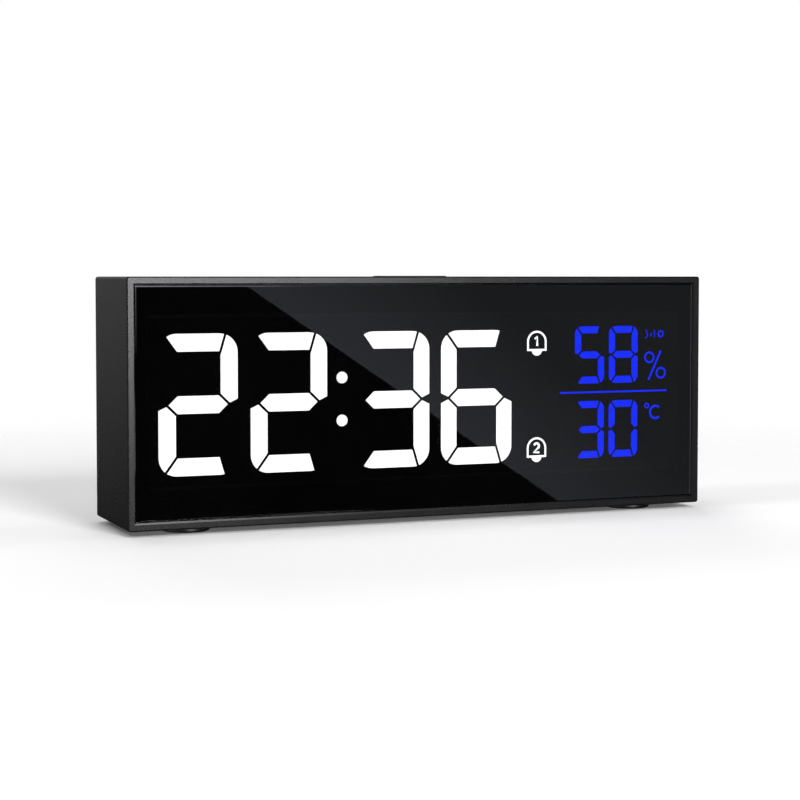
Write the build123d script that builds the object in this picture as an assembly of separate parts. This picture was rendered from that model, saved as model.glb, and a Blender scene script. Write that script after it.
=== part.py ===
from build123d import *
import os

# Digital LED desk clock: a thin box with a smoked front panel, a segment display behind it,
# a snooze key on top, and buttons, power inlet and battery bay at the back.
# Millimetres. X runs to the right seen from the front, Y to the back, Z up.
# The origin is on the table under the middle of the clock.

# Running clearances
SLIDE_CLEARANCE = 0.15
SEAT_CLEARANCE = 0.1
PART_CLEARANCE = 0.3
BOND_CLEARANCE = 0.05

# Case
WALL = 2.1
CORNER_RADIUS = 0.7
EDGE_FILLET = 0.35
RIM_CHAMFER = 0.4
HOLE_CHAMFER = 0.25
LEDGE_SIDE = 3.9
LEDGE_THICK = 1.6
LEDGE_LIP = 0.2
COLUMN_RADIUS = 3.2
COLUMN_INSET = 4.3
COLUMN_WEB = 1.6
BOSS_RADIUS = 2.4

# Front panel and its tape
PANEL_THICK = 2.0
PANEL_BEVEL = 0.12
TAPE_THICK = 0.5
TAPE_SETBACK = 0.3

# Time digits
DIGIT_WIDTH = 21.0
DIGIT_HEIGHT = 36.3
DIGIT_STROKE = 4.6
DIGIT_CORNER = 4.8
DIGIT_SLIT = 0.62
DIGIT_GAP = 3.4
COLON_GAP = 8.1
COLON_DOT = 3.1
COLON_SPACING = 11.3
COLON_SHIFT = 0.1

# Climate digits, the divider between their rows, and the signs beside them
CLIMATE_WIDTH = 9.2
CLIMATE_HEIGHT = 15.95
CLIMATE_STROKE = 2.0
CLIMATE_CORNER = 2.1
CLIMATE_SLIT = 0.42
CLIMATE_DIGIT_GAP = 1.45
CLIMATE_ROW_GAP = 4.8
CLIMATE_LEAD = 4.6
CLIMATE_TAIL = 0.4
CLIMATE_RAISE = 0.5
DIVIDER_THICK = 0.55
DIVIDER_CHAMBER = 1.8
DIVIDER_LIGHTS = 3
SIGN_GAP = 1.85
SIGN_WIDTH = 7.2
SIGN_HEIGHT = 8.4
SIGN_CORNER = 0.5
SIGN_DROP = 0.55
WEATHER_HEIGHT = 3.0
BELL_WIDTH = 6.2
BELL_HEIGHT = 7.0
BELL_DROP = 0.7
BELL_GAP = 4.45
CLIMATE_GAP = 4.15

# Shape of one segment digit, as shares of its stroke
LEFT_LEAN = 0.74
RIGHT_LEAN = 0.30
NOTCH_DEPTH = 0.48
NOTCH_REACH = 0.29

# Display housing and its fills
DISPLAY_GAP = 0.3
HOUSING_THICK = 7.3
HOUSING_LEFT = 1.8
HOUSING_RIGHT = 2.0
HOUSING_BELOW = 2.6
HOUSING_ABOVE = 3.9
HOUSING_CLEARANCE = 0.8
HOUSING_CORNER = 1.0
FILL_DEPTH = 3.0
FILM_THICK = 0.1
FILM_LAP = 0.5
STAKE_RADIUS = 0.9
STAKE_PROUD = 0.7

# Circuit boards and what they carry
BOARD_THICK = 1.6
BOARD_INSET = 2.4
BOARD_HOLE_EDGE = 2.7
BOARD_SCREW_X = 44.0
LARGE_CHIP = (3.0, 2.2, 0.8)
SMALL_CHIP = (1.2, 1.0, 0.6)
LARGE_CHIP_COUNT = 2
DRIVER_BODY = (18.0, 7.5, 2.2)
DRIVER_PINS = 14
CONTROLLER_BODY = (10.0, 5.3, 1.8)
CONTROLLER_PINS = 8
PIN_PITCH = 1.1
PIN_WIDTH = 0.45
PIN_THICK = 0.25
PIN_REACH = 1.2
PIN_RISE = 0.9
CRYSTAL_LENGTH = 10.5
CRYSTAL_WIDTH = 4.2
CRYSTAL_HEIGHT = 3.4
CAPACITOR_RADIUS = 3.15
CAPACITOR_HEIGHT = 7.0
CAPACITOR_EDGE = 0.5
BUZZER_RADIUS = 6.0
BUZZER_HEIGHT = 5.4
BUZZER_PORT = 1.0
BUZZER_PORT_DEPTH = 1.5
SENSOR_SIZE = (11.0, 6.0, 4.0)
SENSOR_SLOT_COUNT = 4
SENSOR_SLOT_WIDTH = 1.0
SENSOR_SLOT_DEPTH = 0.8

# Space for wiring between the display board and the battery bay
WIRING_ROOM = 7.4

# Snooze key and its switch
KEY_LENGTH = 21.0
KEY_WIDTH = 8.0
KEY_PROUD = 0.2
KEY_EDGE = 0.3
KEY_FLANGE = 1.0
KEY_FLANGE_THICK = 1.0
KEY_STEM = 3.0
KEY_STEM_RADIUS = 1.8
KEY_TRAVEL = 0.6
SWITCH_SIZE = 6.0
SWITCH_BODY = 3.0
SWITCH_PLUNGER = 1.3
SWITCH_PLUNGER_RADIUS = 1.5
SNOOZE_SWITCH_AXIS = 3.4

# Rear buttons
BUTTON_COUNT = 5
BUTTON_RADIUS = 3.2
BUTTON_PITCH = 12.0
BUTTON_PROUD = 0.6
BUTTON_CROWN = 0.4
BUTTON_FLANGE = 1.0
BUTTON_FLANGE_THICK = 0.8
BUTTON_STEM = 1.0
BUTTON_STEM_RADIUS = 1.6
BUTTON_TRAVEL = 0.4
BUTTON_DROP = 9.0

# Rear cover
COVER_THICK = 1.8
COVER_INSET = 0.8
CUP_DEPTH = 2.4
CUP_FLOOR = 1.6
CUP_WALL = 1.0
POST_RADIUS = 2.4
VENT_COUNT = 5
VENT_WIDTH = 1.2
VENT_LENGTH = 9.0
VENT_PITCH = 2.6
SOUND_HOLE = 0.9
SOUND_RING = 3.6
SOUND_COUNT = 8

# Power inlet
USB_WIDTH = 8.94
USB_THICK = 3.26
USB_WALL = 0.35
USB_FLOOR = 1.2
USB_TONGUE_WIDTH = 6.7
USB_TONGUE_THICK = 0.7
USB_TONGUE_SHORT = 1.0
USB_RECESS = 0.3

# Main board and the places of what it carries, from its left and bottom edges
MAIN_WIDTH = 66.0
MAIN_HEIGHT = 42.0
MAIN_SIDE_GAP = 8.5
POST_INSET = 3.2
USB_PLACE = (54.0, 9.0)
BUZZER_PLACE = (12.5, 12.0)
SENSOR_PLACE = (34.0, 11.0)
CONTROLLER_PLACE = (15.0, 20.0)
CRYSTAL_PLACE = (15.0, 11.0)
CAPACITOR_PLACE = (56.0, 24.0)
RIBBON_PLACE = (36.0, 29.0)

# Screws
SCREW_RADIUS = 1.1
SCREW_LENGTH = 7.0
SCREW_HEAD_RADIUS = 2.1
SCREW_HEAD = 1.3
SCREW_CROSS = 0.6
SCREW_CROSS_DEPTH = 0.6
PILOT_SPARE = 1.0

# Ribbon cable
RIBBON_WIDTH = 12.0
RIBBON_THICK = 0.3
RIBBON_DROP = 18.0
RIBBON_BEND = 2.0
CONNECTOR_WIDTH = 15.0
CONNECTOR_HEIGHT = 4.4
CONNECTOR_DEEP = 2.6

# Battery bay, three AAA cells
CELL_DIAMETER = 10.5
CELL_LENGTH = 44.5
CELL_NUB = 1.1
CELL_NUB_RADIUS = 1.9
CELL_EDGE = 0.5
CELL_COUNT = 3
CELL_PITCH = 11.0
CELL_CLEARANCE = 0.3
DOOR_CLEARANCE = 0.6
BAY_SIDE_GAP = 14.0
BAY_ROOM = 0.5
TUB_FLOOR_THICK = 1.5
TUB_LAP = 1.0
SEAT_WIDTH = 1.2
CONTACT_THICK = 0.4
CONTACT_WIDTH = 7.0
CONTACT_SPAN = 7.0
SPRING_ROOM = 4.6
SPRING_BEND = 0.7
LEAF_LIFT = 1.2
TAIL_WIDTH = 3.0
TAIL_OUT = 2.5
TAIL_RISE = 0.7
LEAD_RADIUS = 0.6
LEAD_BEND = 1.9
LEAD_RUN = 4.0
LEAD_CLEAR = 1.3
LEAD_INSET = 5.0
LEAD_ROOM = 18.0

# Battery door
DOOR_GAP = 0.25
TAB_WIDTH = 6.0
TAB_SPREAD = 12.0
TAB_REACH = 1.2
TAB_THICK = 1.2
TAB_NECK = 2.0
TONGUE_WIDTH = 13.0
TONGUE_LENGTH = 9.0
TONGUE_SLIT = 0.8
SCOOP_RADIUS = 7.0
SCOOP_DEPTH = 0.8

# Feet
FOOT_RADIUS = 6.4
FOOT_THICK = 2.0
FOOT_SEAT = 0.5
FOOT_EDGE = 0.5
FOOT_INSET_X = 17.6
FOOT_INSET_Y = 10.0

# Widths and heights across the front: the case takes the wider of its display and its back layers
CLIMATE_LENGTH = (CLIMATE_LEAD + 2 * CLIMATE_WIDTH + CLIMATE_DIGIT_GAP + SIGN_GAP + SIGN_WIDTH
                  + CLIMATE_TAIL)
DISPLAY_WIDTH = (4 * DIGIT_WIDTH + 2 * DIGIT_GAP + COLON_GAP + BELL_GAP + BELL_WIDTH + CLIMATE_GAP
                 + CLIMATE_LENGTH)
HOUSING_WIDTH = HOUSING_LEFT + DISPLAY_WIDTH + HOUSING_RIGHT
HOUSING_HEIGHT = HOUSING_BELOW + DIGIT_HEIGHT + HOUSING_ABOVE
BOSS_INSET = BOARD_INSET + BOARD_HOLE_EDGE
LEDGE_BAND = max(COLUMN_INSET + COLUMN_RADIUS, BOSS_INSET + BOSS_RADIUS) + LEDGE_LIP
LEDGE_WIDTH = HOUSING_WIDTH + 2 * HOUSING_CLEARANCE
LEDGE_HEIGHT = HOUSING_HEIGHT + 2 * HOUSING_CLEARANCE
BAY_LENGTH = CONTACT_THICK + BOND_CLEARANCE + CELL_LENGTH + SPRING_ROOM
DOORWAY_LENGTH = BAY_LENGTH + 2 * SEAT_WIDTH
TUB_LENGTH = DOORWAY_LENGTH + 2 * TUB_LAP
BACK_LENGTH = BAY_SIDE_GAP + TUB_LENGTH + LEAD_ROOM + MAIN_WIDTH + MAIN_SIDE_GAP
INNER_WIDTH = max(LEDGE_WIDTH + 2 * LEDGE_SIDE, BACK_LENGTH)
INNER_HEIGHT = LEDGE_HEIGHT + 2 * LEDGE_BAND
CASE_WIDTH = INNER_WIDTH + 2 * WALL
CASE_HEIGHT = INNER_HEIGHT + 2 * WALL
MIDDLE = CASE_HEIGHT / 2

# Depths behind the front rim, from the front to the back
PANEL_FRONT = RIM_CHAMFER
PANEL_BACK = PANEL_FRONT + PANEL_THICK
LEDGE_FRONT = PANEL_BACK + TAPE_THICK
LEDGE_BACK = LEDGE_FRONT + LEDGE_THICK
HOUSING_FRONT = PANEL_BACK + DISPLAY_GAP
HOUSING_BACK = HOUSING_FRONT + HOUSING_THICK
BOARD_BACK = HOUSING_BACK + BOARD_THICK
TUB_FRONT = BOARD_BACK + WIRING_ROOM
TUB_FLOOR = TUB_FRONT + TUB_FLOOR_THICK
CELL_AXIS = TUB_FLOOR + CELL_CLEARANCE + CELL_DIAMETER / 2
COVER_INNER = CELL_AXIS + CELL_DIAMETER / 2 + DOOR_CLEARANCE
COVER_OUTER = COVER_INNER + COVER_THICK
CASE_DEPTH = COVER_OUTER + COVER_INSET
COLUMN_END = COVER_OUTER - CUP_DEPTH - CUP_FLOOR
SWITCH_HEIGHT = SWITCH_BODY + SWITCH_PLUNGER
MAIN_STANDOFF = (SEAT_CLEARANCE + BUTTON_FLANGE_THICK + BUTTON_STEM + BUTTON_TRAVEL + SEAT_CLEARANCE
                 + SWITCH_HEIGHT)
MAIN_BACK = COVER_INNER - MAIN_STANDOFF
MAIN_FRONT = MAIN_BACK - BOARD_THICK

# Where the clock stands
FOOT_RISE = FOOT_THICK - FOOT_SEAT
FRONT_Y = -CASE_DEPTH / 2

# Places across the display, from the middle of the clock and from the bottom of the case
DISPLAY_LEFT = -HOUSING_WIDTH / 2 + HOUSING_LEFT
DIGIT_BOTTOM = WALL + LEDGE_BAND + HOUSING_CLEARANCE + HOUSING_BELOW
DIGIT_MIDDLE = DIGIT_BOTTOM + DIGIT_HEIGHT / 2
DIGIT_PITCH = DIGIT_WIDTH + DIGIT_GAP
HOURS_LEFT = DISPLAY_LEFT
MINUTES_LEFT = HOURS_LEFT + DIGIT_PITCH + DIGIT_WIDTH + COLON_GAP
TIME_RIGHT = MINUTES_LEFT + DIGIT_PITCH + DIGIT_WIDTH
COLON_X = MINUTES_LEFT - COLON_GAP / 2 + COLON_SHIFT
CLIMATE_MIDDLE = DIGIT_MIDDLE + CLIMATE_RAISE
BELL_X = TIME_RIGHT + BELL_GAP + BELL_WIDTH / 2
DIVIDER_LEFT = TIME_RIGHT + BELL_GAP + BELL_WIDTH + CLIMATE_GAP
CLIMATE_LEFT = DIVIDER_LEFT + CLIMATE_LEAD
CLIMATE_PITCH = CLIMATE_WIDTH + CLIMATE_DIGIT_GAP
CLIMATE_ROW = (CLIMATE_HEIGHT + CLIMATE_ROW_GAP) / 2
SIGN_X = CLIMATE_LEFT + CLIMATE_PITCH + CLIMATE_WIDTH + SIGN_GAP + SIGN_WIDTH / 2

# Battery bay and main board, side by side behind the display
BAY_HEIGHT = (CELL_COUNT - 1) * CELL_PITCH + CELL_DIAMETER + 2 * BAY_ROOM
DOORWAY_HEIGHT = BAY_HEIGHT + 2 * SEAT_WIDTH
TUB_HEIGHT = DOORWAY_HEIGHT + 2 * TUB_LAP
TUB_WALL = SEAT_WIDTH + TUB_LAP
BAY_X = -INNER_WIDTH / 2 + BAY_SIDE_GAP + TUB_LENGTH / 2
TAIL_DEPTH = TUB_FLOOR + TAIL_RISE
MAIN_LEFT = INNER_WIDTH / 2 - MAIN_SIDE_GAP - MAIN_WIDTH
MAIN_BOTTOM = MIDDLE - MAIN_HEIGHT / 2
MAIN_X = MAIN_LEFT + MAIN_WIDTH / 2
BUTTON_Z = MAIN_BOTTOM + MAIN_HEIGHT - BUTTON_DROP
TAB_BACK = COVER_INNER - SEAT_CLEARANCE
TAB_SLOT_DEEP = TAB_REACH + TAB_THICK + PART_CLEARANCE

# Snooze key and housing heights over the case bottom
KEY_DEPTH = BOARD_BACK + SNOOZE_SWITCH_AXIS
FLANGE_TOP = CASE_HEIGHT - WALL - SEAT_CLEARANCE
STEM_END = FLANGE_TOP - KEY_FLANGE_THICK - KEY_STEM
HOUSING_MIDDLE = DIGIT_BOTTOM - HOUSING_BELOW + HOUSING_HEIGHT / 2

# Time, humidity and temperature that the display shows, and the segments that make each figure
SHOWN = {
    "hours": ("two", "two"),
    "minutes": ("three", "six"),
    "humidity": ("five", "eight"),
    "temperature": ("three", "zero"),
}
LIT_SEGMENTS = {
    "zero": "abcdef",
    "two": "abdeg",
    "three": "abcdg",
    "five": "acdfg",
    "six": "acdefg",
    "eight": "abcdefg",
}


def slab(profile, front, back):
    """Prism of a profile drawn as seen from the front, between two depths behind the rim."""
    plane = Plane(origin=(0, FRONT_Y + front, FOOT_RISE), x_dir=(1, 0, 0), z_dir=(0, -1, 0))
    return extrude(plane * profile, amount=front - back)


def plan_slab(profile, low, high):
    """Prism of a profile drawn from above as x and depth, between two heights over the case bottom."""
    plane = Plane(origin=(0, FRONT_Y, FOOT_RISE + low))
    return extrude(plane * profile, amount=high - low)


def turned(profile, x, z):
    """Turned piece: a profile of radius and depth behind the rim, spun about a line along Y."""
    return Pos(x, FRONT_Y, FOOT_RISE + z) * revolve(profile, axis=Axis.Y)


def group(pieces):
    """Separate solids that share one node."""
    return Compound([solid for piece in pieces for solid in piece.solids()])


def four_corners(half_x, half_z, middle_x=0.0, middle_z=MIDDLE):
    """Places at the four corners of a rectangle seen from the front."""
    return [(middle_x + sx * half_x, middle_z + sz * half_z) for sx in (-1, 1) for sz in (-1, 1)]


def strip_between(start, end, width):
    """Thin rectangle along a line between two points."""
    run = Vector(*end) - Vector(*start)
    angle = Vector(1, 0).get_signed_angle(run, Vector(0, 0, 1))
    middle = (Vector(*start) + Vector(*end)) / 2
    return Pos(middle.X, middle.Y) * Rot(0, 0, angle) * Rectangle(run.length, width)


def segment_name(face, stroke):
    """Letter of a segment from where it lies in its digit."""
    centre = face.center()
    if abs(centre.X) < stroke:
        if abs(centre.Y) < stroke:
            return "g"
        return "a" if centre.Y > 0 else "d"
    if centre.X > 0:
        return "b" if centre.Y > 0 else "c"
    return "f" if centre.Y > 0 else "e"


def digit_faces(width, height, stroke, corner, slit):
    """Seven segment faces, a to g, of a digit centred on the origin.

    A rounded figure of eight is cut by slanted slits at its joints and by a notch at each side.
    """
    half_width = width / 2
    inner = half_width - stroke
    window = (height - 3 * stroke) / 2
    overrun = 2 * stroke
    figure = RectangleRounded(width, height, corner)
    notch_tip = half_width - NOTCH_DEPTH * stroke
    notch_half = NOTCH_REACH * stroke
    for up in (1, -1):
        figure -= Pos(0, up * (stroke + window) / 2) * Rectangle(2 * inner, window)
    for up in (1, -1):
        corner_z = height / 2 - stroke
        for across, lean in ((-1, LEFT_LEAN), (1, RIGHT_LEAN)):
            start = (across * (inner - lean * slit), up * (corner_z - slit))
            end = (across * (inner + lean * overrun), up * (corner_z + overrun))
            figure -= strip_between(start, end, slit)
            start = (across * (inner - slit), up * (stroke / 2 + slit * stroke / 2 / (notch_tip - inner)))
            figure -= strip_between(start, (across * notch_tip, 0), slit)
    for across in (-1, 1):
        notch = Polyline((across * half_width, notch_half), (across * notch_tip, slit / 2),
                         (across * notch_tip, -slit / 2), (across * half_width, -notch_half), close=True)
        figure -= make_face(notch)
    return {segment_name(face, stroke): face for face in figure.faces()}


def placed_digits(faces, left, middle_z, width, pitch, shown):
    """Faces of a row of digits as two lists for each digit: those lit and those dark."""
    row = []
    for number, figure in enumerate(shown):
        place = Pos(left + width / 2 + number * pitch, middle_z)
        lit = [place * faces[name] for name in faces if name in LIT_SEGMENTS[figure]]
        dark = [place * faces[name] for name in faces if name not in LIT_SEGMENTS[figure]]
        row.append((lit, dark))
    return row


def fills(faces):
    """Clear resin in the mouths of the wells of these faces."""
    return group([slab(offset(face, -BOND_CLEARANCE), HOUSING_FRONT, HOUSING_FRONT + FILL_DEPTH)
                  for face in faces])


def light_chips(faces, size, count):
    """Light chips on the display board under these faces, spread along each face's long way."""
    length, width, height = size
    chips = []
    for face in faces:
        box = face.bounding_box()
        centre = face.center()
        along = Vector(1, 0) if box.size.X > box.size.Y else Vector(0, 1)
        turn = 0 if along.X else 90
        room = max(box.size.X, box.size.Y)
        for number in range(count):
            spot = centre + along * (room * ((number + 0.5) / count - 0.5))
            outline = Pos(spot.X, spot.Y) * Rot(0, 0, turn) * Rectangle(length, width)
            chips.append(slab(outline, HOUSING_BACK - height, HOUSING_BACK))
    return chips


def screw(x, z, seat, points_back):
    """Pan-head screw with a cross slot, its head on a face at a depth behind the rim."""
    way = 1 if points_back else -1
    body = slab(Pos(x, z) * Circle(SCREW_RADIUS), *sorted((seat, seat + way * SCREW_LENGTH)))
    top = seat - way * SCREW_HEAD
    head = slab(Pos(x, z) * Circle(SCREW_HEAD_RADIUS), *sorted((seat, top)))
    cross = Rectangle(2 * SCREW_RADIUS, SCREW_CROSS) + Rectangle(SCREW_CROSS, 2 * SCREW_RADIUS)
    slot = slab(Pos(x, z) * cross, *sorted((top, top + way * SCREW_CROSS_DEPTH)))
    return body + head - slot


def pilot(x, z, seat, end):
    """Hole for a screw from a face at one depth towards another."""
    way = 1 if end > seat else -1
    reach = min(abs(end - seat), SCREW_LENGTH + PILOT_SPARE)
    return slab(Pos(x, z) * Circle(SCREW_RADIUS + SEAT_CLEARANCE), *sorted((seat, seat + way * reach)))


def chip(x, z, body, pins, seat, faces_back):
    """Chip with bent legs along both long sides, standing on a board face."""
    length, width, height = body
    way = 1 if faces_back else -1
    block = Pos(x, z) * Rectangle(length, width)
    package = slab(block, *sorted((seat + way * PIN_THICK, seat + way * height)))
    half_reach = PIN_REACH / 2
    for number in range(pins):
        pin_x = x + (number - (pins - 1) / 2) * PIN_PITCH
        for side in (-1, 1):
            foot_z = z + side * (width / 2 + PIN_REACH - half_reach / 2)
            foot = Pos(pin_x, foot_z) * Rectangle(PIN_WIDTH, half_reach)
            package += slab(foot, *sorted((seat, seat + way * PIN_THICK)))
            riser_z = z + side * (width / 2 + half_reach - PIN_THICK / 2)
            riser = Pos(pin_x, riser_z) * Rectangle(PIN_WIDTH, PIN_THICK)
            package += slab(riser, *sorted((seat, seat + way * PIN_RISE)))
            shoulder_z = z + side * (width / 2 + half_reach / 2)
            shoulder = Pos(pin_x, shoulder_z) * Rectangle(PIN_WIDTH, half_reach)
            package += slab(shoulder, *sorted((seat + way * (PIN_RISE - PIN_THICK), seat + way * PIN_RISE)))
    return package


def main_place(place):
    """Place on the main board from its left and bottom edges."""
    return MAIN_LEFT + place[0], MAIN_BOTTOM + place[1]


def button_places():
    """Middles of the rear buttons, in one row."""
    return [(MAIN_X + (number - (BUTTON_COUNT - 1) / 2) * BUTTON_PITCH, BUTTON_Z)
            for number in range(BUTTON_COUNT)]


def cell_heights():
    """Heights of the cell axes over the case bottom, from the top cell down."""
    return [MIDDLE + ((CELL_COUNT - 1) / 2 - number) * CELL_PITCH for number in range(CELL_COUNT)]


COLUMN_PLACES = four_corners(INNER_WIDTH / 2 - COLUMN_INSET, INNER_HEIGHT / 2 - COLUMN_INSET)
BOSS_PLACES = four_corners(BOARD_SCREW_X, INNER_HEIGHT / 2 - BOSS_INSET)
POST_PLACES = four_corners(MAIN_WIDTH / 2 - POST_INSET, MAIN_HEIGHT / 2 - POST_INSET, MAIN_X)
STAKE_PLACES = four_corners(BOARD_SCREW_X, HOUSING_HEIGHT / 2 - STAKE_RADIUS - HOUSING_CORNER / 2,
                            0.0, HOUSING_MIDDLE)
FOOT_PLACES = {
    "front_left": (-1, -1),
    "front_right": (1, -1),
    "rear_left": (-1, 1),
    "rear_right": (1, 1),
}


def foot_centre(side, end):
    """Middle of a foot, seen from above."""
    return side * (CASE_WIDTH / 2 - FOOT_INSET_X), end * (CASE_DEPTH / 2 - FOOT_INSET_Y)


def case_shell():
    """Four walls with a narrow front rim, a ledge for the panel, screw columns and bosses."""
    outline = Pos(0, MIDDLE) * RectangleRounded(CASE_WIDTH, CASE_HEIGHT, CORNER_RADIUS)
    shell = slab(outline, 0, CASE_DEPTH)
    ends = shell.faces().sort_by(Axis.Y)
    shell = fillet(ends[0].edges() + ends[-1].edges(), EDGE_FILLET)
    inside = Pos(0, MIDDLE) * Rectangle(INNER_WIDTH, INNER_HEIGHT)
    shell -= slab(inside, 0, LEDGE_FRONT)
    mouth = shell.faces().sort_by(Axis.Y)[0].inner_wires()[0]
    shell = chamfer(mouth.edges(), RIM_CHAMFER)
    shell -= slab(inside, LEDGE_BACK, CASE_DEPTH)
    shell -= slab(Pos(0, MIDDLE) * Rectangle(LEDGE_WIDTH, LEDGE_HEIGHT), LEDGE_FRONT, LEDGE_BACK)
    for x, z in COLUMN_PLACES:
        outward = 1 if x > 0 else -1
        upward = 1 if z > MIDDLE else -1
        column = Pos(x, z) * Circle(COLUMN_RADIUS)
        column += Pos(x + outward * COLUMN_INSET / 2, z) * Rectangle(COLUMN_INSET, COLUMN_WEB)
        column += Pos(x, z + upward * COLUMN_INSET / 2) * Rectangle(COLUMN_WEB, COLUMN_INSET)
        shell += slab(column, LEDGE_BACK, COLUMN_END)
        shell -= pilot(x, z, COLUMN_END, LEDGE_BACK)
    for x, z in BOSS_PLACES:
        shell += slab(Pos(x, z) * Circle(BOSS_RADIUS), LEDGE_BACK, HOUSING_BACK)
        shell -= pilot(x, z, HOUSING_BACK, LEDGE_BACK)
    key_hole = SlotOverall(KEY_LENGTH + 2 * SLIDE_CLEARANCE, KEY_WIDTH + 2 * SLIDE_CLEARANCE)
    shell -= plan_slab(Pos(0, KEY_DEPTH) * key_hole, CASE_HEIGHT - WALL, CASE_HEIGHT)
    key_rim = shell.faces().sort_by(Axis.Z)[-1].inner_wires()[0]
    shell = chamfer(key_rim.edges(), HOLE_CHAMFER)
    for side, end in FOOT_PLACES.values():
        x, y = foot_centre(side, end)
        recess = Pos(x, y - FRONT_Y) * Circle(FOOT_RADIUS + SLIDE_CLEARANCE)
        shell -= plan_slab(recess, 0, FOOT_SEAT)
    return shell


def foot(side, end):
    """Round rubber pad with a rounded lower edge, seated in a shallow recess."""
    x, y = foot_centre(side, end)
    pad = plan_slab(Pos(x, y - FRONT_Y) * Circle(FOOT_RADIUS), FOOT_SEAT - FOOT_THICK, FOOT_SEAT)
    return fillet(pad.faces().sort_by(Axis.Z)[0].edges(), FOOT_EDGE)


def front_panel():
    """Smoked sheet with a polished bevel, dropped into the rim."""
    sheet = Rectangle(INNER_WIDTH - 2 * SLIDE_CLEARANCE, INNER_HEIGHT - 2 * SLIDE_CLEARANCE)
    panel = slab(Pos(0, MIDDLE) * sheet, PANEL_FRONT, PANEL_BACK)
    return chamfer(panel.faces().sort_by(Axis.Y)[0].edges(), PANEL_BEVEL)


def panel_tape():
    """Frame of double-sided tape that covers the ledge behind the panel."""
    outer = Rectangle(INNER_WIDTH - 2 * PART_CLEARANCE, INNER_HEIGHT - 2 * PART_CLEARANCE)
    inner = Rectangle(LEDGE_WIDTH + 2 * TAPE_SETBACK, LEDGE_HEIGHT + 2 * TAPE_SETBACK)
    return slab(Pos(0, MIDDLE) * (outer - inner), PANEL_BACK, LEDGE_FRONT)


def sign_windows():
    """Plain light windows behind the signs: two bells, then weather, humidity and temperature."""
    top = DIGIT_MIDDLE + DIGIT_HEIGHT / 2
    bell = RectangleRounded(BELL_WIDTH, BELL_HEIGHT, SIGN_CORNER)
    sign = RectangleRounded(SIGN_WIDTH, SIGN_HEIGHT, SIGN_CORNER)
    weather = RectangleRounded(SIGN_WIDTH, WEATHER_HEIGHT, SIGN_CORNER)
    upper_row = CLIMATE_MIDDLE + CLIMATE_ROW
    lower_row = CLIMATE_MIDDLE - CLIMATE_ROW
    row_top = upper_row + CLIMATE_HEIGHT / 2
    row_base = upper_row - CLIMATE_HEIGHT / 2
    bells = [
        Pos(BELL_X, top - BELL_DROP - BELL_HEIGHT / 2) * bell,
        Pos(BELL_X, DIGIT_BOTTOM + BELL_HEIGHT / 2) * bell,
    ]
    climate = [
        Pos(SIGN_X, row_top - WEATHER_HEIGHT / 2 - SIGN_DROP) * weather,
        Pos(SIGN_X, row_base + SIGN_HEIGHT / 2 + SIGN_DROP) * sign,
        Pos(SIGN_X, lower_row + CLIMATE_HEIGHT / 2 - SIGN_HEIGHT / 2) * sign,
    ]
    return [window.face() for window in bells], [window.face() for window in climate]


def display_housing(faces, chamber):
    """Moulded block with a straight light well for every face, staked to the display board.

    The chamber is the wider lower part of the divider's narrow well, with room for its lights.
    """
    outline = Pos(0, HOUSING_MIDDLE) * RectangleRounded(HOUSING_WIDTH, HOUSING_HEIGHT, HOUSING_CORNER)
    for face in faces:
        outline -= face
    block = slab(outline, HOUSING_FRONT, HOUSING_BACK)
    block -= slab(chamber, HOUSING_FRONT + FILL_DEPTH, HOUSING_BACK)
    for x, z in STAKE_PLACES:
        block += slab(Pos(x, z) * Circle(STAKE_RADIUS), HOUSING_BACK, BOARD_BACK + STAKE_PROUD)
    return block


def legend_films(faces):
    """Dark films over the sign windows."""
    films = []
    for face in faces:
        size = face.bounding_box().size
        centre = face.center()
        film = Rectangle(size.X + 2 * FILM_LAP, size.Y + 2 * FILM_LAP)
        films.append(slab(Pos(centre.X, centre.Y) * film, HOUSING_FRONT - FILM_THICK, HOUSING_FRONT))
    return group(films)


def display_board():
    """Circuit board behind the housing, notched for the case columns."""
    width = INNER_WIDTH - 2 * BOARD_INSET
    height = INNER_HEIGHT - 2 * BOARD_INSET
    outline = Pos(0, MIDDLE) * Rectangle(width, height)
    notch = COLUMN_INSET + COLUMN_RADIUS + PART_CLEARANCE
    for x, z in four_corners((INNER_WIDTH - notch) / 2, (INNER_HEIGHT - notch) / 2):
        outline -= Pos(x, z) * Rectangle(notch, notch)
    for x, z in BOSS_PLACES:
        outline -= Pos(x, z) * Circle(SCREW_RADIUS + SLIDE_CLEARANCE)
    for x, z in STAKE_PLACES:
        outline -= Pos(x, z) * Circle(STAKE_RADIUS + BOND_CLEARANCE)
    return slab(outline, HOUSING_BACK, BOARD_BACK)


def snooze_key():
    """Pill-shaped key with a holding flange under the top wall and a stem over its switch."""
    pill = Pos(0, KEY_DEPTH) * SlotOverall(KEY_LENGTH, KEY_WIDTH)
    flange = Pos(0, KEY_DEPTH) * SlotOverall(KEY_LENGTH + 2 * KEY_FLANGE, KEY_WIDTH + 2 * KEY_FLANGE)
    cap = plan_slab(pill, FLANGE_TOP, CASE_HEIGHT + KEY_PROUD)
    cap = fillet(cap.faces().sort_by(Axis.Z)[-1].edges(), KEY_EDGE)
    cap += plan_slab(flange, FLANGE_TOP - KEY_FLANGE_THICK, FLANGE_TOP)
    cap += plan_slab(Pos(0, KEY_DEPTH) * Circle(KEY_STEM_RADIUS), STEM_END, FLANGE_TOP)
    return cap


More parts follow.
